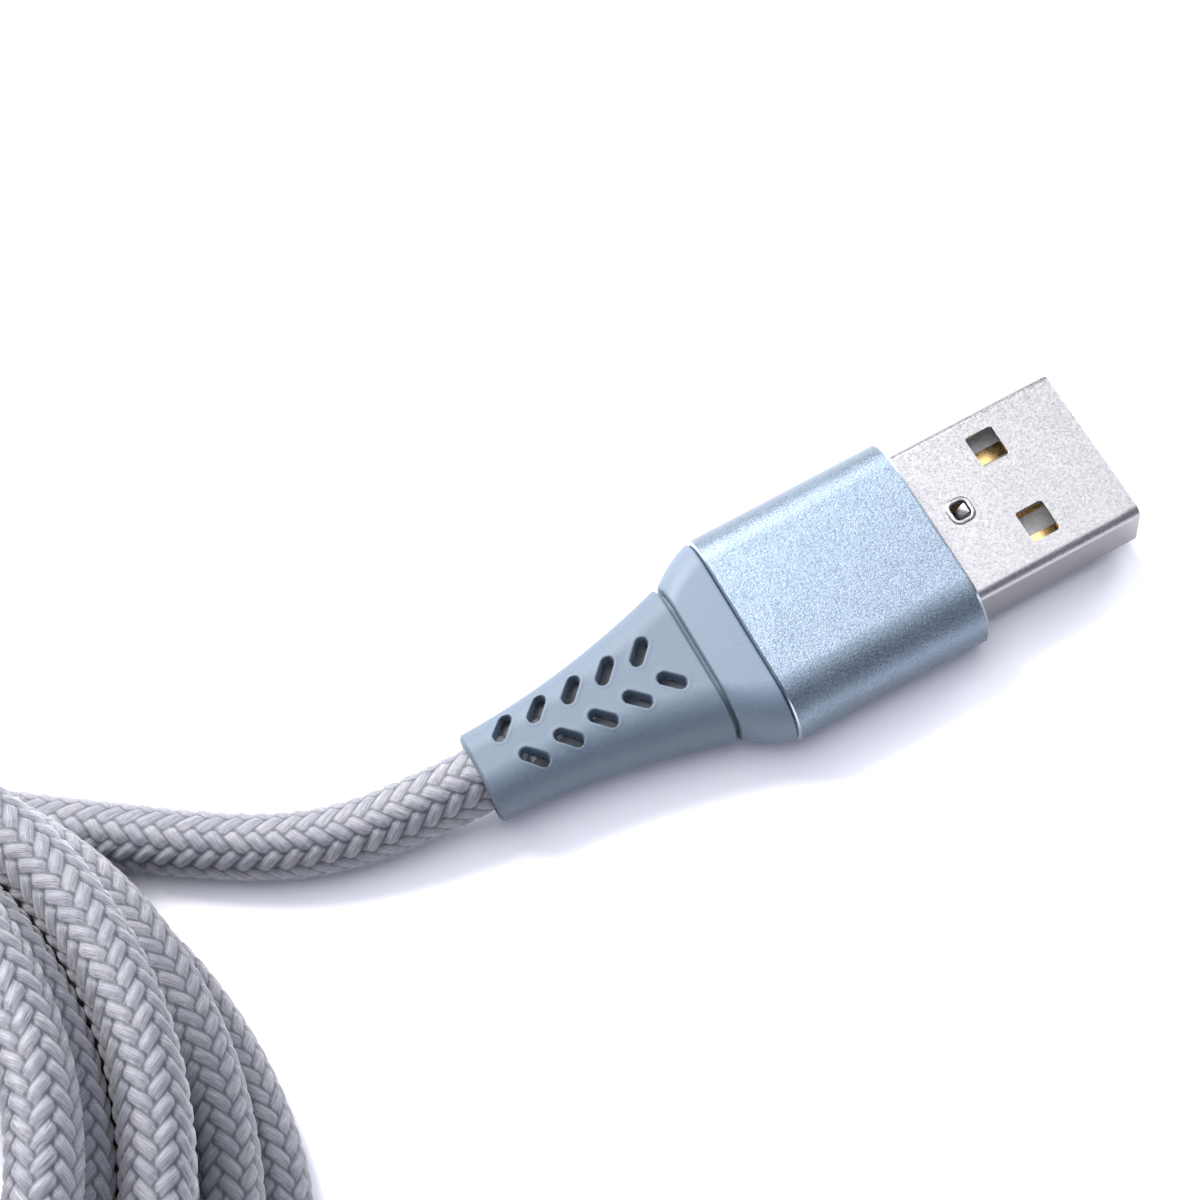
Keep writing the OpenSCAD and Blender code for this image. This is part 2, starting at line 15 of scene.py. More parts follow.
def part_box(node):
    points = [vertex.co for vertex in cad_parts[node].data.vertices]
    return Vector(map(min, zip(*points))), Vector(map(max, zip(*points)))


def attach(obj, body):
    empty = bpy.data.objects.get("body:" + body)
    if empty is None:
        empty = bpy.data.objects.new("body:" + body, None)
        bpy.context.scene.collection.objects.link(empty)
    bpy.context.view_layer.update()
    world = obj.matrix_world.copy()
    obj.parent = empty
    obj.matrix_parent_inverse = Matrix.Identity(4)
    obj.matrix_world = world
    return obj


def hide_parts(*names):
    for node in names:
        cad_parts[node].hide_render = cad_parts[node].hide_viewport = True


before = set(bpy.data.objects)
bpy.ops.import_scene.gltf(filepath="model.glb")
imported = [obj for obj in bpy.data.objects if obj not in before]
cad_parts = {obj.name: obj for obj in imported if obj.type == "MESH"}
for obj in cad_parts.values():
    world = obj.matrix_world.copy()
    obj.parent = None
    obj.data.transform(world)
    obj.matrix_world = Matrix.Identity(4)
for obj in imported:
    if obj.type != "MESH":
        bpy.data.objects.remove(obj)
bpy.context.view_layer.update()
MM = 0.001

# ---------------------------------------------------------------- camera

# Fitted to the USB-A plug's corners in the photo by a script of its own, and moved into the CAD's frame
EYE = Vector((-31.23, -65.39, 169.54))
VIEW_UP = Vector((0.46199, 0.78952, 0.40400))
VIEW_BACK = Vector((-0.1152, -0.3983, 0.9101))

camera_data = bpy.data.cameras.new("camera")
camera_data.sensor_width = 36
camera_data.lens = 83.0
camera_data.clip_start = 0.005
camera_data.clip_end = 20
camera = bpy.data.objects.new("camera", camera_data)
back = VIEW_BACK.normalized()
right = VIEW_UP.cross(back).normalized()
up = back.cross(right)
camera.matrix_world = Matrix.Translation(EYE * MM) @ Matrix((right, up, back)).transposed().to_4x4()
bpy.context.scene.collection.objects.link(camera)
bpy.context.scene.camera = camera

# ---------------------------------------------------------------- places from the CAD

sleeve_low, sleeve_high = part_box("usb_a_sleeve")
NOSE_X = sleeve_high.x / MM
AXIS_Z = (sleeve_low.z + sleeve_high.z) / 2 / MM
SLEEVE_W = (sleeve_high.y - sleeve_low.y) / MM
SLEEVE_H = (sleeve_high.z - sleeve_low.z) / MM
SLEEVE_L = (sleeve_high.x - sleeve_low.x) / MM
SHELL_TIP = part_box("usb_a_shell")[1].x / MM - NOSE_X
RELIEF_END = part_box("usb_a_strain_relief")[0].x / MM
coil_low, coil_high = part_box("cable_coil")
COIL_REACH = 34.9
COIL_X = coil_high.x / MM - COIL_REACH
COIL_Y = (coil_low.y + coil_high.y) / 2 / MM
c_low, c_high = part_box("usb_c_sleeve")
C_X = (c_low.x + c_high.x) / 2 / MM
C_NOSE_Y = c_low.y / MM
C_AXIS_Z = (c_low.z + c_high.z) / 2 / MM
C_SLEEVE_W = (c_high.x - c_low.x) / MM
C_SLEEVE_H = (c_high.z - c_low.z) / MM
C_SLEEVE_L = (c_high.y - c_low.y) / MM
C_RELIEF_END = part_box("usb_c_strain_relief")[1].y / MM

# ---------------------------------------------------------------- the cable's route

CABLE_D = 4.4
CABLE_R = CABLE_D / 2
LIE_Z = CABLE_R + 0.1
BRAID_IN = 14.3


def ease(t):
    t = np.clip(t, 0, 1)
    return t * t * (3 - 2 * t)


# Out of the USB-A relief, down on the table and on to the coil's lowest pass
LEAD = [
    [RELIEF_END + BRAID_IN, 0, AXIS_Z], [RELIEF_END + 6, 0, AXIS_Z], [RELIEF_END, 0, AXIS_Z],
    [-26, 0.3, 3.2], [-29, 0.6, 2.7], [-32, 1.2, 2.4], [-35, 2.2, LIE_Z], [-38, 3.8, LIE_Z],
    [-41, 5.8, LIE_Z], [-44, 8, LIE_Z], [-46.4, 9.8, LIE_Z], [-50.8, 13, LIE_Z],
]
# Radius and height that each pass is drawn to, in the order of winding. The first one is laid by
# first_pass_radius instead. Only SEEN_PASSES show on the near side in the photo, and the others
# fill the space between them.
PASSES = [
    (32.3, 2.3), (26.3, 2.3), (21.9, 2.3), (24.6, 6.4), (31.0, 6.5), (27.7, 9.6), (23.3, 10.6),
    (23.4, 15.0), (27.5, 14.0), (29.5, 18.3), (25.0, 19.0), (24.5, 23.2),
]
SEEN_PASSES = (0, 4, 9, 11)
STEP_DEG = 5
JOIN_DEG = 50
FIRST_PASS_END_DEG = 415
LEAVE_DEG = 70
# The side that shows runs through 0 degrees, from the first of these to the second
SEEN_FROM_DEG, SEEN_TO_DEG = 318, 36
# Pass n climbs to the next from CLIMB_DEG - n * CLIMB_SOONER_DEG on, over CLIMB_SPAN_DEG
CLIMB_DEG, CLIMB_SOONER_DEG, CLIMB_SPAN_DEG = 259, 19, 52
# How firmly a point keeps to its own place
HOLD_FIRST, HOLD_SEEN, HOLD_FREE = 0.6, 0.4, 0.02
# How much nearer its centre the far side of the coil lies, at most
DRAWN_IN = 6


def round_the_coil(radius, deg, z):
    angle = np.radians(deg)
    return np.stack([COIL_X + radius * np.cos(angle), COIL_Y + radius * np.sin(angle), z], -1)


def first_pass_radius(deg):
    """The first pass runs on from the lead, and comes round inside it as the second one starts.

    The radii at 340, 364, 371 and 378 degrees are measured on the photo, and the others are chosen.
    """
    return np.interp(
        deg,
        [JOIN_DEG, 54, 90, 180, 270, 330, 340, 352, 364, 371, 378, 387, 393, 405, FIRST_PASS_END_DEG],
        [30.9, 30.7, 30.6, 31.4, 31.8, 33.1, 33.3, 32.3, 31.5, 31.1, 30.7, 29.5, 28.2, 26.6, 26.3],
    )


def drawn_in(deg):
    """How far the coil is drawn in on the side away from the USB-A plug."""
    return DRAWN_IN * np.maximum(np.cos(np.radians(deg - 200)), 0) ** 2


def wound_coil():
    """The coil's centreline.

    Passes at the same angle are pushed apart in their own section until none lies in another.
    """
    per_turn = 360 // STEP_DEG
    last = len(PASSES) - 1
    degs = np.arange(JOIN_DEG, 360 * len(PASSES) + LEAVE_DEG + 1, STEP_DEG)
    radius, height, hold = (np.zeros(len(degs)) for _ in range(3))
    for n, deg in enumerate(degs):
        turn = int(deg // 360)
        inside = deg - 360 * turn
        if deg < FIRST_PASS_END_DEG:
            radius[n], height[n], hold[n] = first_pass_radius(deg), LIE_Z, HOLD_FIRST
            continue
        at = max(turn - 1, 1)
        after = 1 if turn == 1 else min(at + 1, last)
        t = ease((inside - (CLIMB_DEG - CLIMB_SOONER_DEG * at)) / CLIMB_SPAN_DEG)
        a, b = PASSES[at], PASSES[after]
        radius[n] = a[0] + (b[0] - a[0]) * t
        height[n] = a[1] + (b[1] - a[1]) * t
        seen = inside < SEEN_TO_DEG or inside > SEEN_FROM_DEG
        which = at if inside < 180 else after
        hold[n] = HOLD_SEEN if seen and which in SEEN_PASSES else HOLD_FREE
    wanted = np.stack([radius, height], 1)
    place = wanted.copy()
    slots = np.arange(len(degs)) % per_turn
    pairs = [
        (i, j)
        for s in range(per_turn)
        for k, i in enumerate(np.nonzero(slots == s)[0])
        for j in np.nonzero(slots == s)[0][k + 1:]
    ]
    first, second = (np.array(side) for side in zip(*pairs))
    for _ in range(500):
        smooth = np.zeros_like(place)
        smooth[1:-1] = (place[:-2] + place[2:]) / 2 - place[1:-1]
        place += 0.45 * smooth * (1 - hold)[:, None]
        place += (wanted - place) * (hold * 0.5)[:, None]
        for _ in range(3):
            apart = place[first] - place[second]
            far = np.linalg.norm(apart, axis=1) + 1e-9
            move = apart / far[:, None] * np.maximum(CABLE_D * 1.02 - far, 0)[:, None] * 0.4
            push = np.zeros_like(place)
            np.add.at(push, first, move)
            np.add.at(push, second, -move)
            place += push * (1 - 0.9 * hold)[:, None]
            place[:, 1] = np.maximum(place[:, 1], LIE_Z)
    return round_the_coil(place[:, 0] - drawn_in(degs), degs, place[:, 1])


def even_line(points, step):
    """A smooth curve through the points, as points a step apart."""
    points = np.asarray(points, float)
    along = np.concatenate([[0], np.cumsum(np.linalg.norm(np.diff(points, axis=0), axis=1))])
    slope = np.gradient(points, along, axis=0)
    fine = np.linspace(0, along[-1], int(along[-1] / 0.1))
    k = np.clip(np.searchsorted(along, fine, "right") - 1, 0, len(along) - 2)
    h = (along[k + 1] - along[k])[:, None]
    t = (fine - along[k])[:, None] / h
    curve = (
        (2 * t**3 - 3 * t**2 + 1) * points[k] + (t**3 - 2 * t**2 + t) * h * slope[k]
        + (3 * t**2 - 2 * t**3) * points[k + 1] + (t**3 - t**2) * h * slope[k + 1]
    )
    run = np.concatenate([[0], np.cumsum(np.linalg.norm(np.diff(curve, axis=0), axis=1))])
    count = int(round(run[-1] / step))
    at = np.linspace(0, run[-1], count + 1)
    return np.stack([np.interp(at, run, curve[:, k]) for k in range(3)], 1)


def softened(line, rounds):
    """The line with small kinks smoothed out; its ends stay."""
    line = line.copy()
    for _ in range(rounds):
        line[1:-1] += 0.5 * ((line[:-2] + line[2:]) / 2 - line[1:-1])
    return line


# Off the top turn, along the coil's top and into the USB-C relief
TAIL_RADIUS = np.array([24.7, 24.8, 24.6, 24.4])
TAIL_DEG = np.array([83, 95, 107, 119])
TAIL_Z = np.array([23.9, 24.7, 25.7, 26.6])
tail = np.vstack([
    round_the_coil(TAIL_RADIUS, TAIL_DEG, TAIL_Z),
    [[C_X + 3.6, C_RELIEF_END + 6.4, C_AXIS_Z - 0.2], [C_X + 0.9, C_RELIEF_END + 3, C_AXIS_Z],
     [C_X, C_RELIEF_END, C_AXIS_Z], [C_X, C_RELIEF_END - 4, C_AXIS_Z], [C_X, C_RELIEF_END - 10.5, C_AXIS_Z]],
])
rough = even_line(np.vstack([LEAD, wound_coil(), tail]), 1.0)
route = even_line(softened(rough, 12), 0.1)
route_length = float(np.linalg.norm(np.diff(route, axis=0), axis=1).sum())

# ---------------------------------------------------------------- material helpers


def new_material(name):
    material = bpy.data.materials.new(name)
    material.use_nodes = True
    nodes = material.node_tree.nodes
    return material, nodes, material.node_tree.links, nodes["Principled BSDF"]


def node_of(nodes, kind, **inputs):
    made = nodes.new(kind)
    for key, value in inputs.items():
        made.inputs[key.replace("_", " ")].default_value = value
    return made


def ramp_of(nodes, *stops):
    made = nodes.new("ShaderNodeValToRGB")
    elements = made.color_ramp.elements
    while len(elements) < len(stops):
        elements.new(0.5)
    for element, (place, colour) in zip(elements, stops):
        element.position = place
        element.color = (*colour, 1)
    return made


def grainy(name, dark, light, rough_range, scale, bump, bump_depth, metallic=0.0):
    """A surface with fine grain: its colour, roughness and bump vary with noise at two scales."""
    material, nodes, links, shader = new_material(name)
    place = nodes.new("ShaderNodeTexCoord")
    fine = node_of(nodes, "ShaderNodeTexNoise", Scale=scale, Detail=4.0, Roughness=0.6)
    broad = node_of(nodes, "ShaderNodeTexNoise", Scale=scale / 14, Detail=2.0)
    links.new(place.outputs["Object"], fine.inputs["Vector"])
    links.new(place.outputs["Object"], broad.inputs["Vector"])
    both = node_of(nodes, "ShaderNodeMath")
    both.operation = "MULTIPLY_ADD"
    both.inputs[1].default_value = 0.9
    links.new(fine.outputs["Fac"], both.inputs[0])
    half = node_of(nodes, "ShaderNodeMath")
    half.operation = "MULTIPLY"
    half.inputs[1].default_value = 0.1
    links.new(broad.outputs["Fac"], half.inputs[0])
    links.new(half.outputs["Value"], both.inputs[2])
    colours = ramp_of(nodes, (0.32, dark), (0.68, light))
    links.new(both.outputs["Value"], colours.inputs["Fac"])
    links.new(colours.outputs["Color"], shader.inputs["Base Color"])
    spread = node_of(nodes, "ShaderNodeMapRange")
    spread.inputs["From Min"].default_value = 0.3
    spread.inputs["From Max"].default_value = 0.7
    spread.inputs["To Min"].default_value = rough_range[0]
    spread.inputs["To Max"].default_value = rough_range[1]
    links.new(fine.outputs["Fac"], spread.inputs["Value"])
    links.new(spread.outputs["Result"], shader.inputs["Roughness"])
    bumps = node_of(nodes, "ShaderNodeBump", Strength=bump, Distance=bump_depth)
    links.new(fine.outputs["Fac"], bumps.inputs["Height"])
    links.new(bumps.outputs["Normal"], shader.inputs["Normal"])
    shader.inputs["Metallic"].default_value = metallic
    return material


ALUMINIUM = grainy(
    "anodised_aluminium", (0.078, 0.106, 0.140), (0.200, 0.245, 0.296),
    (0.32, 0.50), 8200, 0.6, 5e-5, 0.85
)
CHAMFER = grainy(
    "cut_aluminium", (0.34, 0.40, 0.46), (0.44, 0.50, 0.56),
    (0.18, 0.28), 6000, 0.05, 1e-5, 1.0
)
STEEL = grainy(
    "satin_steel", (0.235, 0.230, 0.235), (0.335, 0.330, 0.338),
    (0.26, 0.42), 6500, 0.30, 3e-5, 1.0
)
COLLAR = grainy(
    "collar_plastic", (0.080, 0.110, 0.148), (0.100, 0.134, 0.178),
    (0.50, 0.64), 5200, 0.16, 3e-5
)
RELIEF = grainy(
    "relief_plastic", (0.066, 0.091, 0.125), (0.086, 0.115, 0.154),
    (0.54, 0.68), 4200, 0.18, 4e-5
)
# Near-black colour for the faces deep in the relief slots: painted shade, where the slots fall into shadow
SLOT_PAINTED_SHADE = grainy(
    "slot_painted_shade", (0.012, 0.016, 0.022), (0.022, 0.028, 0.038),
    (0.55, 0.7), 4200, 0.18, 4e-5
)
PLASTIC_DARK = grainy(
    "dark_plastic", (0.02, 0.02, 0.022), (0.045, 0.045, 0.05),
    (0.35, 0.5), 3000, 0.1, 2e-5
)
PLASTIC_WHITE = grainy("white_plastic", (0.62, 0.62, 0.60), (0.78, 0.78, 0.76), (0.35, 0.5), 3000, 0.1, 2e-5)
GOLD = grainy("gold_plating", (0.78, 0.50, 0.20), (0.90, 0.64, 0.30), (0.22, 0.34), 4000, 0.06, 1e-5, 1.0)
COPPER = grainy("copper", (0.62, 0.30, 0.18), (0.80, 0.44, 0.28), (0.25, 0.4), 4000, 0.08, 1e-5, 1.0)
BOARD = grainy("board_green", (0.01, 0.09, 0.04), (0.02, 0.16, 0.07), (0.3, 0.45), 2600, 0.12, 2e-5)
CHIP = grainy("chip_ceramic", (0.03, 0.03, 0.035), (0.07, 0.07, 0.08), (0.4, 0.55), 4000, 0.1, 1e-5)
JACKET = grainy("inner_jacket", (0.60, 0.61, 0.63), (0.74, 0.75, 0.77), (0.4, 0.55), 2500, 0.12, 2e-5)
MOULD = grainy("inner_mould", (0.66, 0.66, 0.63), (0.80, 0.80, 0.77), (0.35, 0.5), 2200, 0.12, 3e-5)


def wire_material(name, dark, light):
    return grainy(name, dark, light, (0.3, 0.45), 3000, 0.08, 1e-5)


WIRES = {
    "power": wire_material("wire_red", (0.45, 0.02, 0.02), (0.62, 0.05, 0.04)),
    "data_minus": wire_material("wire_white", (0.68, 0.68, 0.66), (0.82, 0.82, 0.80)),
    "data_plus": wire_material("wire_green", (0.02, 0.25, 0.06), (0.05, 0.38, 0.10)),
    "ground": wire_material("wire_black", (0.012, 0.012, 0.014), (0.035, 0.035, 0.04)),
}


def braid_material():
    """Nylon yarn: fibre_uv runs along and across each float, and float_uv holds its height and own tone; low
    height paints shade into the grooves between floats.
    """
    material, nodes, links, shader = new_material("nylon_braid")
    fibre = nodes.new("ShaderNodeUVMap")
    fibre.uv_map = "fibre_uv"
    float_map = nodes.new("ShaderNodeUVMap")
    float_map.uv_map = "float_uv"
    stretch = nodes.new("ShaderNodeMapping")
    stretch.inputs["Scale"].default_value = (0.55, 11.0, 1.0)
    links.new(fibre.outputs["UV"], stretch.inputs["Vector"])
    strands = node_of(nodes, "ShaderNodeTexNoise", Scale=1.6, Detail=5.0, Roughness=0.65)
    links.new(stretch.outputs["Vector"], strands.inputs["Vector"])
    split = nodes.new("ShaderNodeSeparateXYZ")
    links.new(float_map.outputs["UV"], split.inputs["Vector"])
    yarn = ramp_of(
        nodes, (0.30, (0.062, 0.065, 0.082)), (0.50, (0.150, 0.153, 0.180)), (0.70, (0.300, 0.300, 0.325))
    )
    links.new(strands.outputs["Fac"], yarn.inputs["Fac"])
    tone = ramp_of(nodes, (0.0, (0.84, 0.85, 0.90)), (1.0, (1.0, 0.99, 0.965)))
    links.new(split.outputs["Y"], tone.inputs["Fac"])
    # Painted shade: the floats' low edges and the grooves between them darken with float height
    painted_groove_shade = ramp_of(nodes, (0.0, (0.16, 0.17, 0.22)), (0.34, (0.80, 0.81, 0.84)), (0.72, (1, 1, 1)))
    links.new(split.outputs["X"], painted_groove_shade.inputs["Fac"])
    toned = nodes.new("ShaderNodeMix")
    toned.data_type = "RGBA"
    toned.blend_type = "MULTIPLY"
    toned.inputs["Factor"].default_value = 1
    links.new(yarn.outputs["Color"], toned.inputs["A"])
    links.new(tone.outputs["Color"], toned.inputs["B"])
    shaded = nodes.new("ShaderNodeMix")
    shaded.data_type = "RGBA"
    shaded.blend_type = "MULTIPLY"
    shaded.inputs["Factor"].default_value = 1
    links.new(toned.outputs["Result"], shaded.inputs["A"])
    links.new(painted_groove_shade.outputs["Color"], shaded.inputs["B"])
    links.new(shaded.outputs["Result"], shader.inputs["Base Color"])
    spread = node_of(nodes, "ShaderNodeMapRange")
    spread.inputs["To Min"].default_value = 0.36
    spread.inputs["To Max"].default_value = 0.62
    links.new(strands.outputs["Fac"], spread.inputs["Value"])
    links.new(spread.outputs["Result"], shader.inputs["Roughness"])
    bumps = node_of(nodes, "ShaderNodeBump", Strength=0.75, Distance=9e-5)
    links.new(strands.outputs["Fac"], bumps.inputs["Height"])
    links.new(bumps.outputs["Normal"], shader.inputs["Normal"])
    shader.inputs["Sheen Weight"].default_value = 0.35
    shader.inputs["Sheen Roughness"].default_value = 0.4
    shader.inputs["Specular IOR Level"].default_value = 0.75
    return material


BRAID = braid_material()

# ---------------------------------------------------------------- mesh helpers


def add_object(name, mesh, *materials):
    for material in materials:
        mesh.materials.append(material)
    made = bpy.data.objects.new(name, mesh)
    bpy.context.scene.collection.objects.link(made)
    return made


def mesh_of(name, points, faces):
    mesh = bpy.data.meshes.new(name)
    mesh.from_pydata([tuple(p) for p in points], [], [tuple(f) for f in faces])
    mesh.polygons.foreach_set("use_smooth", np.ones(len(mesh.polygons), bool))
    mesh.update()
    return mesh


# ---------------------------------------------------------------- braid

ROWS = 10
CELLS = 3
BRAID_LOW, BRAID_HIGH = 2.02, 2.24


def float_at(a, b):
    """Height, along, across and own number of the yarn float on top at a point of the 2-over-2 braid."""
    i, j = np.floor(a + 1e-6), np.floor(b + 1e-6)
    q = np.mod(i - j, 4)
    left = q < 2
    along = np.where(left, a - i + (q == 1), b - j + (q == 2))
    across = np.where(left, b - j, a - i)
    height = (1 - np.abs(2 * across - 1) ** 3) * (1 - np.abs(along - 1) ** 5)
    number = np.where(left, (i - (q == 1)) * 7.31 + j * 3.17, i * 5.71 + (j - (q == 2)) * 2.93 + 0.5)
    return np.clip(height, 0, 1), along, across, number


def braided_tube(name, line):
    """A tube along the line, skinned with yarn floats two cells long and one wide, at 45 degrees."""
    pitch = math.pi * (BRAID_LOW + BRAID_HIGH) / (ROWS * math.sqrt(2))
    ring_step = pitch / math.sqrt(2) / CELLS
    lengths = np.concatenate([[0], np.cumsum(np.linalg.norm(np.diff(line, axis=0), axis=1))])
    rings = int(lengths[-1] / ring_step)
    at = np.arange(rings + 1) * lengths[-1] / rings
    centre = np.stack([np.interp(at, lengths, line[:, k]) for k in range(3)], 1)
    ahead = np.gradient(centre, axis=0)
    ahead /= np.linalg.norm(ahead, axis=1)[:, None]
    side = np.zeros_like(ahead)
    side[0] = np.cross([0, 0, 1], ahead[0])
    for n in range(1, rings + 1):
        turned = side[n - 1] - ahead[n] * side[n - 1].dot(ahead[n])
        side[n] = turned / np.linalg.norm(turned)
    above = np.cross(ahead, side)
    per_ring = ROWS * CELLS
    k = np.repeat(np.arange(rings + 1), per_ring)
    m = np.tile(np.arange(per_ring), rings + 1) * 2 + k % 2
    height = float_at((k + m) / 2 / CELLS, (k - m) / 2 / CELLS)[0]
    turn = 2 * math.pi * m / (2 * per_ring)
    radius = BRAID_LOW + (BRAID_HIGH - BRAID_LOW) * height
    points = (
        centre[k] + (radius * np.cos(turn))[:, None] * side[k] + (radius * np.sin(turn))[:, None] * above[k]
    ) * MM
    kq = np.repeat(np.arange(rings - 1), per_ring)
    mq = np.tile(np.arange(per_ring), rings - 1) * 2 + kq % 2

    def vertex(ring, column):
        return ring * per_ring + np.mod(column, 2 * per_ring) // 2

    corners_k = np.stack([kq, kq + 1, kq + 2, kq + 1], 1)
    corners_m = np.stack([mq, mq + 1, mq, mq - 1], 1)
    quads = vertex(corners_k, corners_m)
    ends = []
    for ring, inner in ((0, 1), (rings, rings - 1)):
        columns = np.arange(per_ring) * 2 + ring % 2
        three = np.stack([vertex(ring, columns), vertex(ring, columns + 2), vertex(inner, columns + 1)], 1)
        ends.append(three if ring == 0 else three[:, ::-1])
    caps = [np.arange(per_ring)[::-1], rings * per_ring + np.arange(per_ring)]
    mesh = bpy.data.meshes.new(name)
    faces = quads.tolist() + ends[0].tolist() + ends[1].tolist() + [c.tolist() for c in caps]
    mesh.from_pydata(points.tolist(), [], faces)
    mesh.polygons.foreach_set("use_smooth", np.ones(len(mesh.polygons), bool))
    corner_count = len(mesh.loops)
    fibre, floats, flat = (np.zeros((corner_count, 2), np.float32) for _ in range(3))
    a, b = (corners_k + corners_m) / 2 / CELLS, (corners_k - corners_m) / 2 / CELLS
    mid_a, mid_b = a.mean(1), b.mean(1)
    i, j = np.floor(mid_a), np.floor(mid_b)
    q = np.mod(i - j, 4)
    left = (q < 2)[:, None]
    along = np.where(left, a - i[:, None] + (q == 1)[:, None], b - j[:, None] + (q == 2)[:, None])
    across = np.where(left, b - j[:, None], a - i[:, None])
    number = float_at(mid_a, mid_b)[3][:, None]
    lift = np.clip((1 - np.abs(2 * across - 1) ** 3) * (1 - np.abs(along - 1) ** 5), 0, 1)
    tone = np.mod(np.sin(number * 12.9898) * 43758.5453, 1.0) + 0 * across
    n_quads = len(quads)
    fibre[: 4 * n_quads] = np.stack([along + number * 1.7, across + number * 2.3], 2).reshape(-1, 2)
    # The height stored here drives the braid's painted shade in the grooves between floats
    floats[: 4 * n_quads] = np.stack([lift, tone], 2).reshape(-1, 2)
    floats[4 * n_quads:] = 0.5
    strips = 12
    per_strip = math.ceil((rings + 1) / strips)
    strip = (kq // per_strip)[:, None]
    flat_u = (strip + 0.04 + 0.92 * (corners_m + 1) / (2 * per_ring + 3)) / strips
    flat_v = 0.002 + 0.99 * (corners_k - strip * per_strip) / (per_strip + 3)
    flat[: 4 * n_quads] = np.stack([flat_u, flat_v], 2).reshape(-1, 2)
    for layer_name, values in (("OFBake", flat), ("fibre_uv", fibre), ("float_uv", floats)):
        layer = mesh.uv_layers.new(name=layer_name)
        layer.uv.foreach_set("vector", values.ravel())
    mesh.update()
    return add_object(name, mesh, BRAID), centre * MM


cable, cable_path = braided_tube("cable_braid", route)
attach(cable, "root")
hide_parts("cable_lead", "cable_coil", "cable_tail")

# ---------------------------------------------------------------- rounded sections


def section(width, height, radius, count=128):
    """Points round a rounded rectangle, starting at +Y, as (y, z)."""
    radius = min(radius, width / 2 - 1e-4, height / 2 - 1e-4)
    angle = 2 * math.pi * (np.arange(count) + 0.5) / count
    return np.stack([
        np.sign(np.cos(angle)) * (width / 2 - radius) + radius * np.cos(angle),
        np.sign(np.sin(angle)) * (height / 2 - radius) + radius * np.sin(angle),
    ], 1)


def even_section(width, height, radius, count):
    """The same outline with its points an equal distance apart."""
    outline = section(width, height, radius, 720)
    outline = np.vstack([outline, outline[:1]])
    run = np.concatenate([[0], np.cumsum(np.linalg.norm(np.diff(outline, axis=0), axis=1))])
    at = np.linspace(0, run[-1], count + 1)[:-1]
    return np.stack([np.interp(at, run, outline[:, k]) for k in range(2)], 1)


def ring_at(x, outline):
    return np.column_stack([np.full(len(outline), x), outline])


def loft(name, rings, closed_loop=False, caps=False):
    """Faces between rings of equal length.

    closed_loop joins the last ring to the first, and caps closes both ends.
    """
    count = len(rings[0])
    points = np.vstack(rings) * MM
    spans = len(rings) if closed_loop else len(rings) - 1
    faces = []
    for k in range(spans):
        here, there = k * count, ((k + 1) % len(rings)) * count
        for i in range(count):
            j = (i + 1) % count
            faces.append((here + i, here + j, there + j, there + i))
    if caps:
        faces.append(tuple(range(count))[::-1])
        faces.append(tuple((len(rings) - 1) * count + i for i in range(count)))
    mesh = mesh_of(name, points, faces)
    outward(mesh)
    return mesh


def outward(mesh):
    work = bmesh.new()
    work.from_mesh(mesh)
    bmesh.ops.recalc_face_normals(work, faces=work.faces)
    work.to_mesh(mesh)
    work.free()
    mesh.update()


def crisp(made, degrees):
    """Edges sharper than this stay sharp, and every other face shades smooth."""
    mesh = made.data
    work = bmesh.new()
    work.from_mesh(mesh)
    for edge in work.edges:
        edge.smooth = len(edge.link_faces) == 2 and edge.calc_face_angle(0) < math.radians(degrees)
    for face in work.faces:
        face.smooth = True
    work.to_mesh(mesh)
    work.free()
    mesh.update()


def with_modifiers(made):
    """The object's mesh with its modifiers applied, so that none is left on it."""
    graph = bpy.context.evaluated_depsgraph_get()
    mesh = bpy.data.meshes.new_from_object(made.evaluated_get(graph), depsgraph=graph)
    old = made.data
    made.modifiers.clear()
    made.data = mesh
    bpy.data.meshes.remove(old)


def cut(made, cutters):
    """Cuts each mesh out of the object."""
    for mesh in cutters:
        tool = bpy.data.objects.new("cutter", mesh)
        bpy.context.scene.collection.objects.link(tool)
        modifier = made.modifiers.new("cut", "BOOLEAN")
        modifier.operation = "DIFFERENCE"
        modifier.solver = "EXACT"
        modifier.object = tool
        bpy.context.view_layer.update()
        with_modifiers(made)
        bpy.data.objects.remove(tool)


def rounded_edges(made, width, segments=2, degrees=35):
    bevel = made.modifiers.new("bevel", "BEVEL")
    bevel.width = width * MM
    bevel.segments = segments
    bevel.limit_method = "ANGLE"
    bevel.angle_limit = math.radians(degrees)
    bevel.harden_normals = False
    bpy.context.view_layer.update()
    with_modifiers(made)


def flat_faces_stay_flat(made):
    """Large faces set the shading at their edges, so that small ones beside them don't bend it."""
    weigh = made.modifiers.new("weigh", "WEIGHTED_NORMAL")
    weigh.keep_sharp = True
    with_modifiers(made)


USB_A_PLACE = Matrix.Translation(Vector((NOSE_X, 0, AXIS_Z)) * MM)
USB_C_MOVE = Matrix.Translation(Vector((C_X, C_NOSE_Y, C_AXIS_Z)) * MM)
USB_C_PLACE = USB_C_MOVE @ Matrix.Rotation(-math.pi / 2, 4, "Z")


def place(made, matrix, replaced, slot):
    """Puts a piece made in a plug's own frame where the CAD has it."""
    made.data.transform(matrix)
    made.data.update()
    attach(made, "root")
    if replaced:
        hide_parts(*replaced)
    return made


# ---------------------------------------------------------------- sleeves


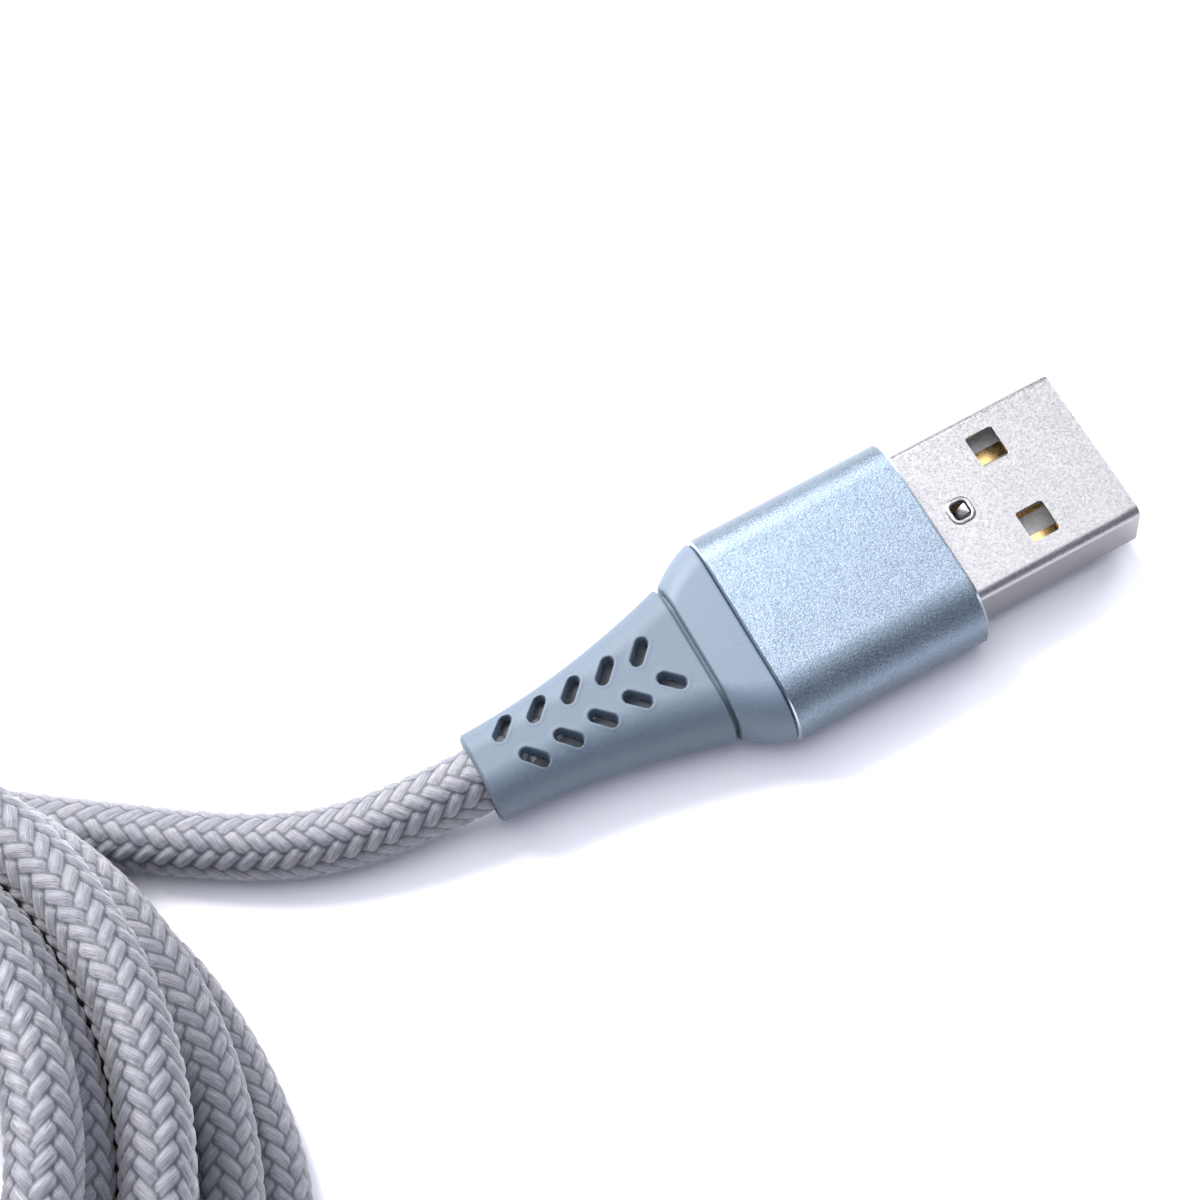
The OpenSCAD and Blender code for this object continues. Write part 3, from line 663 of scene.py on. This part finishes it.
def sleeve(name, width, height, radius, length, bore, bore_radius, matrix, node):
    """Aluminium sleeve: a sandblasted skin with a bright cut chamfer round each end."""
    wall, lip, chamfer, soft = 0.7, 0.8, 0.25, 0.03
    outer = section(width, height, radius)
    cut_in = section(width - 2 * chamfer, height - 2 * chamfer, radius - chamfer)
    inner = section(width - 2 * wall, height - 2 * wall, radius - wall)
    mouth = section(bore[0], bore[1], bore_radius)
    mouth_edge = section(bore[0] + 0.1, bore[1] + 0.1, bore_radius + 0.05)
    end_edge = section(width - 2 * chamfer - 0.1, height - 2 * chamfer - 0.1, radius - chamfer - 0.05)
    rings = [
        ring_at(-lip, mouth), ring_at(-0.05, mouth), ring_at(0, mouth_edge), ring_at(0, end_edge),
        ring_at(-0.01, section(width - 2 * chamfer - soft, height - 2 * chamfer - soft, radius - chamfer)),
        ring_at(-soft, cut_in), ring_at(-chamfer, outer), ring_at(-chamfer - 0.06, outer),
    ]
    rings += [ring_at(-x, outer) for x in np.linspace(chamfer + 0.5, length - chamfer - 0.5, 14)]
    rings += [
        ring_at(-length + chamfer + 0.06, outer), ring_at(-length + chamfer, outer),
        ring_at(-length + soft, cut_in), ring_at(-length, end_edge), ring_at(-length, inner),
        ring_at(-lip, inner),
    ]
    made = add_object(name, loft(name, rings, closed_loop=True), ALUMINIUM, CHAMFER)
    for face in made.data.polygons:
        middle = face.center.x / MM
        slanted = abs(face.normal.x) > 0.5 and abs(face.normal.x) < 0.9
        if slanted and (middle > -chamfer - 0.02 or middle < -length + chamfer + 0.02):
            face.material_index = 1
    crisp(made, 25)
    return place(made, matrix, [node], "anodised")


SLEEVE_R = 3.1
C_SLEEVE_R = 2.6
SHELL_W, SHELL_H, SHELL_R = 12.0, 4.5, 0.7
C_SHELL_W, C_SHELL_H, C_SHELL_R = 8.3, 2.5, 1.24
sleeve(
    "usb_a_sleeve_shell", SLEEVE_W, SLEEVE_H, SLEEVE_R, SLEEVE_L, (SHELL_W, SHELL_H), SHELL_R,
    USB_A_PLACE, "usb_a_sleeve"
)
usb_c_sleeve = sleeve(
    "usb_c_sleeve_shell", C_SLEEVE_W, C_SLEEVE_H, C_SLEEVE_R, C_SLEEVE_L, (C_SHELL_W, C_SHELL_H),
    C_SHELL_R, USB_C_PLACE, "usb_c_sleeve"
)

# ---------------------------------------------------------------- collars and strain reliefs

GROOVE = 0.3
NECK_R = 2.6
# Slots in the reliefs: size, how far apart they are along a row, how far from the middle each row
# is, how far one row is shifted along the other, and how much the slots slant
SLOT_L, SLOT_W, SLOT_DEPTH = 1.9, 0.74, 0.95
SLOT_PITCH = 2.5
SLOT_ROW_Y = 1.4
SLOT_SHIFT = 0.9
SLOT_SLANT = math.radians(46)


def collar(name, x0, x1, big, big_r, small, matrix, node):
    """Moulded collar: it leaves the sleeve with a small step and draws in to the groove."""
    steps = 26
    rings = [
        ring_at(x0, section(big[0] - 1.2, big[1] - 1.2, big_r - 0.6)),
        ring_at(x0, section(big[0] - 0.16, big[1] - 0.16, big_r - 0.08)),
        ring_at(x0 - 0.03, section(big[0] - 0.06, big[1] - 0.06, big_r - 0.03)),
    ]
    for k in range(steps + 1):
        s = k / steps
        draw = 0.62 * s + 0.38 * s**2.2
        width = big[0] + (small[0] - big[0]) * draw
        height = big[1] + (small[1] - big[1]) * draw
        radius = big_r + (0.86 * small[1] / 2 - big_r) * s
        rings.append(ring_at(x0 - 0.08 + (x1 + 0.12 - x0 + 0.08) * s, section(width, height, radius)))
    for drop, step in ((0.03, 0.09), (0.09, 0.03), (0.2, 0)):
        end = section(small[0] - 2 * drop, small[1] - 2 * drop, 0.86 * small[1] / 2 - drop)
        rings.append(ring_at(x1 + step, end))
    rings.append(ring_at(x1, section(2 * NECK_R, 2 * NECK_R, NECK_R)))
    rings.append(ring_at(x0, section(2 * NECK_R, 2 * NECK_R, NECK_R)))
    made = add_object(name, loft(name, rings, closed_loop=True), COLLAR)
    crisp(made, 40)
    return place(made, matrix, [node], "collar")


def slot_depth(x, y, slots, length, width, depth):
    """How far the surface sinks at (x, y), and that point's distance outside the nearest slot.

    A slot has steep walls and a soft lip.
    """
    sink = np.zeros_like(x)
    near = np.full_like(x, 9.0)
    for sx, sy, turn in slots:
        c, s = math.cos(turn), math.sin(turn)
        along = (x - sx) * c + (y - sy) * s
        across = -(x - sx) * s + (y - sy) * c
        beyond = np.maximum(np.abs(along) - (length - width) / 2, 0)
        edge = np.hypot(beyond, across) - width / 2
        near = np.minimum(near, edge)
        sink += depth * ease((0.09 - edge) / 0.18)
        sink -= 0.018 * np.exp(-(((edge - 0.2) / 0.13) ** 2))
    return sink, near


def strain_relief(name, x0, length, big, small, first_slot, slots, matrix, node):
    """Soft tapered relief: two rows of slanting slots above and below, and a parting line on each side."""
    around, steps = 380, 240
    body = []
    for k in range(steps + 1):
        s = k / steps
        width = small[0] + (big[0] - small[0]) * (1 - s) ** 1.9
        height = small[1] + (big[1] - small[1]) * (1 - s)
        inset = 0.16 * max(0, 1 - k / 2) ** 2 + 0.34 * max(0, 1 - (steps - k) / 4) ** 2
        outline = even_section(width - 2 * inset, height - 2 * inset, 0.86 * height / 2 - inset, around)
        body.append(ring_at(x0 - length * s, outline))
    body = np.array(body)
    end = x0 - length
    places = []
    for k in range(slots):
        for side in (1, -1):
            x = end + first_slot + SLOT_PITCH * k + (SLOT_SHIFT if side < 0 else 0)
            places.append((x, SLOT_ROW_Y * side, side * SLOT_SLANT))
    x, y, z = body[:, :, 0], body[:, :, 1], body[:, :, 2]
    sink, near = slot_depth(x, y, places, SLOT_L, SLOT_W, SLOT_DEPTH)
    fade = ease((np.abs(z) - 1.2) / 0.5)
    body[:, :, 2] -= np.sign(z) * sink * fade
    seam = np.exp(-((z / 0.09) ** 2)) * 0.06
    body[:, :, 1] += np.sign(y) * seam * (np.abs(y) > 1.5)
    neck = even_section(2 * NECK_R, 2 * NECK_R, NECK_R, around)
    shoulder = even_section(big[0] - 1.3, big[1] - 1.3, 0.86 * big[1] / 2 - 0.65, around)
    bore = even_section(CABLE_D + 0.16, CABLE_D + 0.16, CABLE_R + 0.08, around)
    core = even_section(3.5, 3.5, 1.75, around)
    rings = [
        ring_at(x0 + GROOVE + 2, core), ring_at(x0 + GROOVE + 2, neck), ring_at(x0 + GROOVE, neck),
        ring_at(x0 + GROOVE, shoulder), ring_at(x0, shoulder),
    ]
    first = len(rings)
    rings += list(body)
    rings += [ring_at(end, bore), ring_at(end + 1.45, bore), ring_at(end + 1.5, core)]
    made = add_object(name, loft(name, rings, closed_loop=True), RELIEF, SLOT_PAINTED_SHADE)
    # Faces deep inside the slots take the near-black material: painted shade in the slots
    painted_shade_faces = np.zeros((len(rings), around), bool)
    painted_shade_faces[first:first + steps + 1] = (near < -0.02) & (np.abs(z) > 1.2)
    painted_shade_faces = painted_shade_faces.ravel()
    for face in made.data.polygons:
        if all(painted_shade_faces[v] for v in face.vertices):
            face.material_index = 1
    crisp(made, 60)
    return place(made, matrix, [node], "relief")


RELIEF_TIP = (6.1, 5.4)
A_BACK = -SLEEVE_L
collar_low, collar_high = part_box("usb_a_collar")
A_COLLAR_L = (collar_high.x - collar_low.x) / MM
A_BIG = (SLEEVE_W - 0.2, SLEEVE_H - 0.2)
A_SMALL = (SLEEVE_W - 3.6, SLEEVE_H - 0.3)
collar(
    "usb_a_collar_shell", A_BACK, A_BACK - A_COLLAR_L, A_BIG, SLEEVE_R - 0.1, A_SMALL, USB_A_PLACE,
    "usb_a_collar"
)
A_RELIEF_X = A_BACK - A_COLLAR_L - GROOVE
A_RELIEF_L = A_RELIEF_X + NOSE_X - RELIEF_END
strain_relief(
    "usb_a_relief_body", A_RELIEF_X, A_RELIEF_L, (A_SMALL[0] - 0.2, A_SMALL[1] - 0.1), RELIEF_TIP, 2.7, 5,
    USB_A_PLACE, "usb_a_strain_relief"
)

c_collar_low, c_collar_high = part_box("usb_c_collar")
C_COLLAR_L = (c_collar_high.y - c_collar_low.y) / MM
C_SMALL = (C_SLEEVE_W - 2.6, C_SLEEVE_H - 0.2)
C_BIG = (C_SLEEVE_W - 0.2, C_SLEEVE_H - 0.2)
usb_c_collar = collar(
    "usb_c_collar_shell", -C_SLEEVE_L, -C_SLEEVE_L - C_COLLAR_L, C_BIG, C_SLEEVE_R - 0.1, C_SMALL,
    USB_C_PLACE, "usb_c_collar"
)
C_RELIEF_X = -C_SLEEVE_L - C_COLLAR_L - GROOVE
C_RELIEF_L = C_RELIEF_END - C_NOSE_Y + C_RELIEF_X
usb_c_relief = strain_relief(
    "usb_c_relief_body", C_RELIEF_X, C_RELIEF_L, (C_SMALL[0] - 0.2, C_SMALL[1] - 0.1), RELIEF_TIP, 1.9, 4,
    USB_C_PLACE, "usb_c_strain_relief"
)

# ---------------------------------------------------------------- steel shells


def prism(name, x, y, length, width, radius, low, high, count=48):
    """Upright prism with a rounded outline, to cut with."""
    outline = section(length, width, radius, count)
    rings = [np.column_stack([outline[:, 0] + x, outline[:, 1] + y, np.full(count, z)]) for z in (low, high)]
    return loft(name, rings, caps=True)


def shell_tube(name, width, height, radius, wall, x0, x1, lip):
    """Folded sheet: outer and inner skins with rounded rims at the mouth."""
    inner = (width - 2 * wall, height - 2 * wall, radius - wall)
    rings = [ring_at(x0, section(width, height, radius, 96))]
    for x in np.linspace(x0 + 0.5, x1 - lip, 12):
        rings.append(ring_at(x, section(width, height, radius, 96)))
    for k in range(1, 5):
        a = k / 4 * math.pi / 2
        shrink = lip * (1 - math.cos(a))
        rim = section(width - 2 * shrink, height - 2 * shrink, radius - shrink, 96)
        rings.append(ring_at(x1 - lip + lip * math.sin(a), rim))
    rings.append(ring_at(x1 - 0.02, section(*inner, 96)))
    rings.append(ring_at(x0, section(*inner, 96)))
    return loft(name, rings, closed_loop=True)


WINDOW_X, WINDOW_Y = 6.1, 3.15
TAB_X = 2.2
TAB_HOLE = (1.15, 1.3, 0.35)
SHELL_TOP = SHELL_H / 2
shell_mesh = shell_tube("usb_a_shell_steel", SHELL_W, SHELL_H, SHELL_R, 0.3, -6.5, SHELL_TIP, 0.14)
shell = add_object("usb_a_shell_steel", shell_mesh, STEEL)
cutters = [prism("window", WINDOW_X, side * WINDOW_Y, 2.0, 2.4, 0.22, -3, 3) for side in (1, -1)]
cutters.append(prism("tab_hole", TAB_X, 0, *TAB_HOLE, 1, 3))
cutters.append(prism("seam", 3.0, 0, 18.2, 0.05, 0.02, -3, -1))
cut(shell, cutters)
rounded_edges(shell, 0.05)
crisp(shell, 30)
flat_faces_stay_flat(shell)
place(shell, USB_A_PLACE, ["usb_a_shell"], "steel")


def tab_rim_mesh():
    """The raised rim round the bent tab's hole."""
    rings = []
    count = 48
    steps = (
        (-0.02, 0.34), (0.05, 0.26), (0.1, 0.16), (0.11, 0.08), (0.08, 0.02), (-0.02, -0.02), (-0.2, -0.02)
    )
    for lift, grow in steps:
        outline = section(TAB_HOLE[0] + 2 * grow, TAB_HOLE[1] + 2 * grow, TAB_HOLE[2] + grow, count)
        height = np.full(count, SHELL_TOP + lift)
        rings.append(np.column_stack([outline[:, 0] + TAB_X, outline[:, 1], height]))
    rim = mesh_of("usb_a_tab_rim", np.vstack(rings) * MM, [
        (k * count + i, k * count + (i + 1) % count, (k + 1) * count + (i + 1) % count, (k + 1) * count + i)
        for k in range(len(rings) - 1) for i in range(count)
    ])
    outward(rim)
    return rim


tab_rim = add_object("usb_a_tab_rim", tab_rim_mesh(), STEEL)
thick = tab_rim.modifiers.new("sheet", "SOLIDIFY")
thick.thickness = 0.05 * MM
thick.offset = -1
with_modifiers(tab_rim)
crisp(tab_rim, 50)
place(tab_rim, USB_A_PLACE, [], "steel")


def tongue_strip():
    """Strip of sheet, bent down into the tab's hole."""
    steps, half, sheet = 14, 0.36, 0.16
    points, faces = [], []
    for k in range(steps + 1):
        s = k / steps
        x = TAB_X + 0.5 - 0.95 * s
        z = SHELL_TOP - 0.06 - 0.75 * s**1.6
        tilt = -math.atan2(1.2 * s**0.6, 0.95)
        nx, nz = math.sin(tilt) * sheet / 2, math.cos(tilt) * sheet / 2
        width = half * (1 - 0.25 * s**3)
        for dy, side in ((-width, 1), (width, 1), (width, -1), (-width, -1)):
            points.append((x + side * nx, dy, z + side * nz))
        if k:
            o = 4 * (k - 1)
            faces += [(o + i, o + (i + 1) % 4, o + 4 + (i + 1) % 4, o + 4 + i) for i in range(4)]
    faces += [(0, 1, 2, 3), (4 * steps + 3, 4 * steps + 2, 4 * steps + 1, 4 * steps)]
    mesh = mesh_of("usb_a_tab_tongue", np.array(points) * MM, faces)
    outward(mesh)
    return mesh


tab_tongue = add_object("usb_a_tab_tongue", tongue_strip(), STEEL)
rounded_edges(tab_tongue, 0.03)
crisp(tab_tongue, 40)
place(tab_tongue, USB_A_PLACE, [], "steel")

c_shell_mesh = shell_tube("usb_c_shell_steel", C_SHELL_W, C_SHELL_H, C_SHELL_R, 0.25, -4.0, 6.7, 0.12)
c_shell = add_object("usb_c_shell_steel", c_shell_mesh, STEEL)
crisp(c_shell, 35)
place(c_shell, USB_C_PLACE, ["usb_c_shell"], "steel")

# ---------------------------------------------------------------- CAD nodes that stay, with their finishes

FINISHES = {
    "usb_a_insulator": PLASTIC_WHITE, "usb_a_contact_power": GOLD, "usb_a_contact_data_minus": GOLD,
    "usb_a_contact_data_plus": GOLD, "usb_a_contact_ground": GOLD, "usb_a_inner_jacket": JACKET,
    "usb_a_crimp_ferrule": COPPER, "usb_a_inner_mould": MOULD, "usb_c_insulator": PLASTIC_DARK,
    "usb_c_contacts_upper": GOLD, "usb_c_contacts_lower": GOLD, "usb_c_latch_plate": STEEL,
    "usb_c_circuit_board": BOARD, "usb_c_resistor": CHIP, "usb_c_inner_jacket": JACKET,
    "usb_c_crimp_ferrule": COPPER, "usb_c_inner_mould": MOULD,
}
for plug in ("usb_a", "usb_c"):
    for wire, material in WIRES.items():
        FINISHES[f"{plug}_wire_{wire}"] = material
for node_name, material in FINISHES.items():
    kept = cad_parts[node_name]
    kept.data.materials.clear()
    kept.data.materials.append(material)

# ---------------------------------------------------------------- table and light

table_corners = np.array([(-3, -3, 0), (3, -3, 0), (3, 3, 0), (-3, 3, 0)], float)
table_mesh = mesh_of("table", table_corners, [(0, 1, 2, 3)])
table_material, _, _, table_shader = new_material("pale_table")
table_shader.inputs["Base Color"].default_value = (0.925, 0.925, 0.965, 1)
table_shader.inputs["Roughness"].default_value = 0.7
table_shader.inputs["Specular IOR Level"].default_value = 0.2
table = add_object("table", table_mesh, table_material)


def soft_light(name, azimuth, elevation, distance, size, watts, colour):
    data = bpy.data.lights.new(name, "AREA")
    data.shape = "DISK"
    data.size = size
    data.energy = watts
    data.color = colour
    light = bpy.data.objects.new(name, data)
    az, el = math.radians(azimuth), math.radians(elevation)
    away = Vector((math.cos(el) * math.cos(az), math.cos(el) * math.sin(az), math.sin(el)))
    target = Vector((-0.03, 0, 0.003))
    light.location = target + away * distance
    light.rotation_euler = away.to_track_quat("Z", "Y").to_euler()
    bpy.context.scene.collection.objects.link(light)


soft_light("key", 104, 42, 0.9, 0.6, 24.0, (1.0, 0.99, 0.97))
soft_light("side", 30, 34, 1.2, 0.6, 6.0, (0.95, 0.97, 1.0))
soft_light("top", 60, 84, 1.3, 1.2, 10.0, (0.97, 0.98, 1.0))

world = bpy.data.worlds.new("studio")
world.use_nodes = True
world.node_tree.nodes["Background"].inputs["Color"].default_value = (0.82, 0.84, 1.0, 1)
world.node_tree.nodes["Background"].inputs["Strength"].default_value = 0.56
bpy.context.scene.world = world
bpy.context.scene.view_settings.view_transform = "Standard"

# ---------------------------------------------------------------- done

print("cord centreline", round(route_length, 1), "mm")
